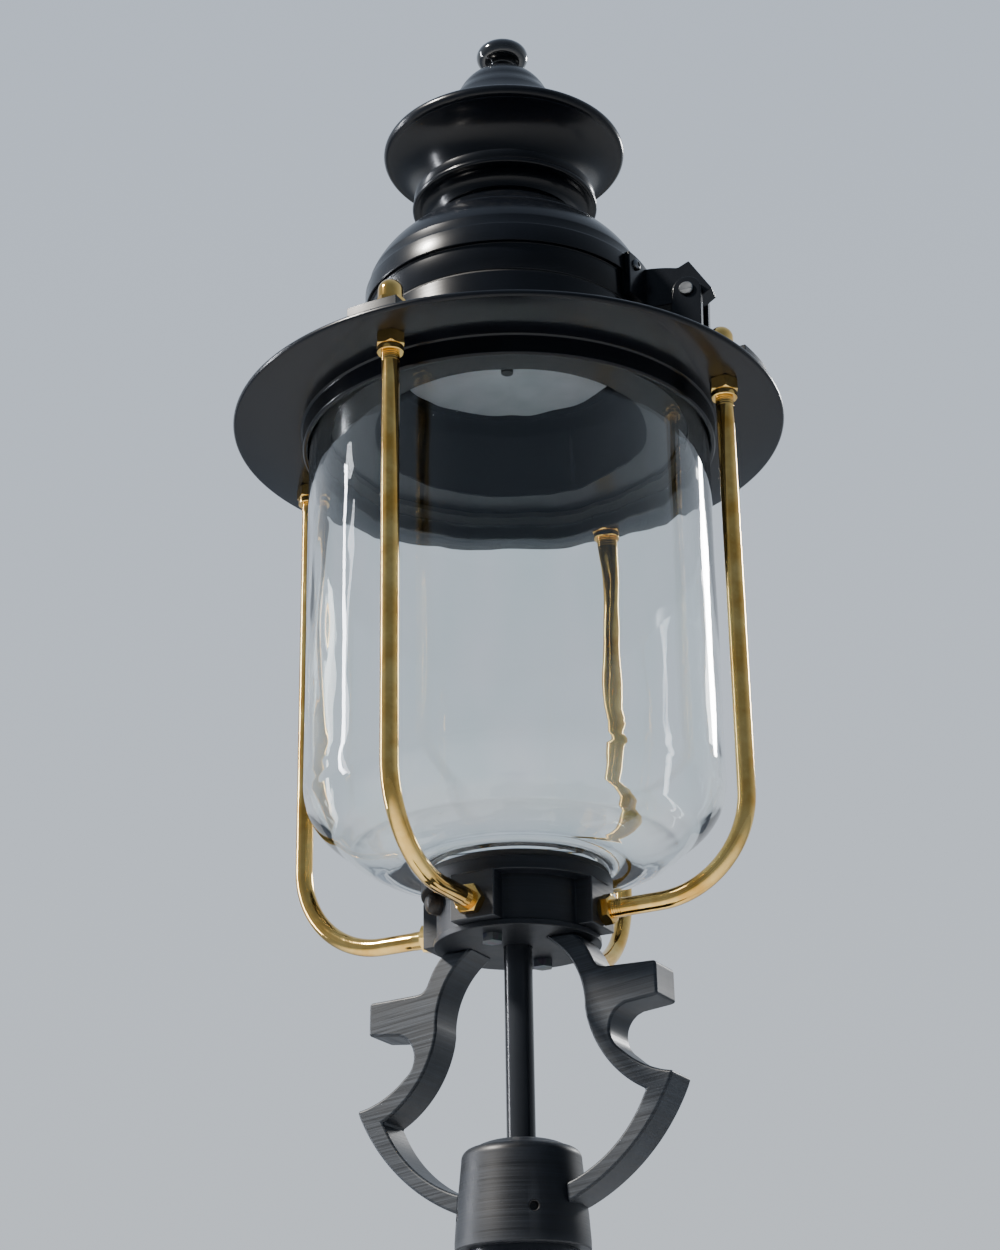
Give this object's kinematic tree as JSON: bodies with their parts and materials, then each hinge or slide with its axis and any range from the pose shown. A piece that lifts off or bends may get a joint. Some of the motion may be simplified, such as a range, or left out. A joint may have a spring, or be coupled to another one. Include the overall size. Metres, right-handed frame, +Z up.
{
  "type": "street lamp post",
  "caption": "Street lamp post: tubular column with base door, two-leg frog, glass cylinder lantern in four brass rods, hinged ventilated lid.",
  "frame": {"origin": "centre of the base plate's underside, on the ground", "axes": "+Z up along the column, -Y towards the side with the access door, X in the plane of the two frog legs"},
  "size_m": [0.4199, 0.42, 2.85],
  "materials": {
    "column_paint": "satin",
    "stainless_steel": "satin",
    "zinc_steel": "satin",
    "plywood": "matt",
    "black_plastic": "matt",
    "brass": "polished",
    "casting_paint": "satin",
    "black_steel": "satin",
    "conduit_paint": "satin",
    "rubber": "matt",
    "clear_glass": "polished",
    "hood_paint": "satin",
    "gloss_paint": "gloss",
    "opal_plastic": "satin",
    "lamp_white": "matt"
  },
  "bodies": {
    "post": {"base_plate": "column_paint", "base_tube": "column_paint", "base_gussets": "column_paint", "base_cap": "column_paint", "post_tube": "column_paint", "post_sleeve": "column_paint", "post_rings": "column_paint", "door_hinge_barrels": "column_paint", "door_hinge_pins": "stainless_steel", "cutout_board": "plywood", "cutout_box": "black_plastic", "board_brackets": "zinc_steel", "earth_stud": "brass", "socket": "casting_paint", "grub_screws": "black_steel", "conduit": "conduit_paint", "conduit_locknuts": "zinc_steel", "frog_plate": "casting_paint", "frog_leg_left": "casting_paint", "frog_leg_right": "casting_paint", "frog_screws": "zinc_steel", "gallery": "casting_paint", "gallery_screw": "black_steel", "glass_seal_low": "rubber", "glass": "clear_glass", "glass_seal_top": "rubber", "rod_1": "brass", "rod_2": "brass", "rod_3": "brass", "rod_4": "brass", "rod_foot_nuts": "brass", "rod_under_nuts": "brass", "rod_washers": "brass", "rod_dome_nuts": "brass", "hood_ring": "hood_paint", "hood_band": "hood_paint", "band_lip": "hood_paint", "band_gasket": "rubber", "diffuser": "opal_plastic", "diffuser_nut": "black_steel", "lamp_board": "lamp_white", "gear_tray": "zinc_steel", "gear_posts": "zinc_steel", "lamp_driver": "lamp_white", "terminal_block": "black_plastic", "hinge_bracket": "hood_paint", "hinge_pin": "stainless_steel"},
    "lid": {"hinge_leaf": "hood_paint", "hinge_screws": "stainless_steel", "lid_bell": "hood_paint", "neck_tube": "hood_paint", "neck_collar": "hood_paint", "cap_foot": "hood_paint", "vent_cap": "hood_paint", "finial_knob": "gloss_paint", "lid_rod": "stainless_steel"},
    "door": {"access_door": "column_paint", "door_knuckles": "column_paint"},
    "lock": {"door_lock": "stainless_steel", "lock_cam": "stainless_steel"}
  },
  "joints": [
    {"name": "lid_hinge", "type": "hinge", "parent": "post", "child": "lid", "pos_m": [0.14575, 0.0257, 2.5825], "axis": [-0.1736, 0.9848, 0], "range_deg": [0, 94]},
    {"name": "door_hinge", "type": "hinge", "parent": "post", "child": "door", "pos_m": [-0.061, -0.07485, 0.476], "axis": [0, 0, -1], "range_deg": [0, 110]},
    {"name": "lock_turn", "type": "hinge", "parent": "door", "child": "lock", "pos_m": [0.023, -0.06595, 0.476], "axis": [0, 1, 0], "range_deg": [0, 90]}
  ]
}
